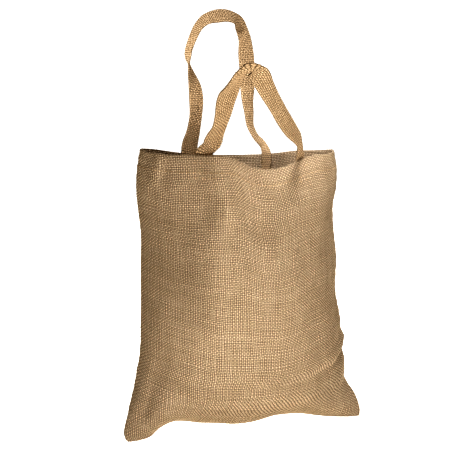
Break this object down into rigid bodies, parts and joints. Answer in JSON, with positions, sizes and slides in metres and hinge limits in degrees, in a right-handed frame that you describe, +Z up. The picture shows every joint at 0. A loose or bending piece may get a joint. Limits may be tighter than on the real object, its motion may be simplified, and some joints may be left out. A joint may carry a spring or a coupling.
{
  "type": "jute carrying bag",
  "caption": "Soft carrying bag of plain woven jute, standing open on its rounded underside, with flat bottom corners and long strap handles sewn inside the mouth.",
  "frame": {"origin": "middle of the flat underside that rests on the table", "axes": "+Z up, +X to the right when facing the front panel, -Y towards the viewer who faces the front panel"},
  "size_m": [0.3615, 0.3074, 0.6085],
  "materials": {
    "jute_cloth": "open plain weave of undyed jute yarn, matte",
    "jute_strap": "folded strip of the same jute, matte"
  },
  "bodies": {
    "root": {"bag_body": "jute_cloth", "handle_front": "jute_strap", "handle_back": "jute_strap"}
  },
  "joints": []
}
